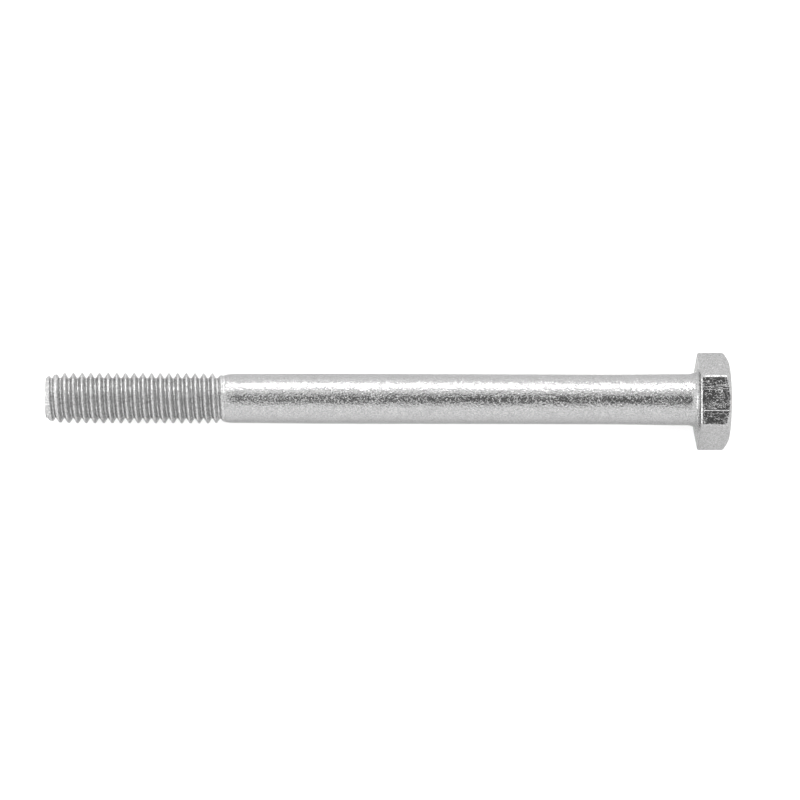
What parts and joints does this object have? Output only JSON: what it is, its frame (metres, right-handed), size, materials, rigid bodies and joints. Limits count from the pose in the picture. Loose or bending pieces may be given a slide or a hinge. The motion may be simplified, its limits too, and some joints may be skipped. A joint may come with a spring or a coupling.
{
  "type": "hex bolt",
  "caption": "Partly threaded hex-head bolt: a chamfered hexagonal head for a spanner, a long plain shank and a rolled right-hand thread at the tip.",
  "frame": {"origin": "centre of the head's flat top", "axes": "+X out of the head's top along the bolt's axis, so the thread tip is at the far -X end; two flats of the head face +Z and -Z, two corners point to +Y and -Y"},
  "size_m": [0.0786, 0.0112, 0.0098],
  "materials": {
    "head_zinc": "bright zinc plate over trimmed flats with fine scratches along the bolt",
    "shank_zinc": "bright zinc plate, fine orange-peel grain",
    "thread_zinc": "bright zinc plate over rolled thread flanks"
  },
  "bodies": {
    "root": {"hex_head": "head_zinc", "shank": "shank_zinc", "thread": "thread_zinc"}
  },
  "joints": []
}
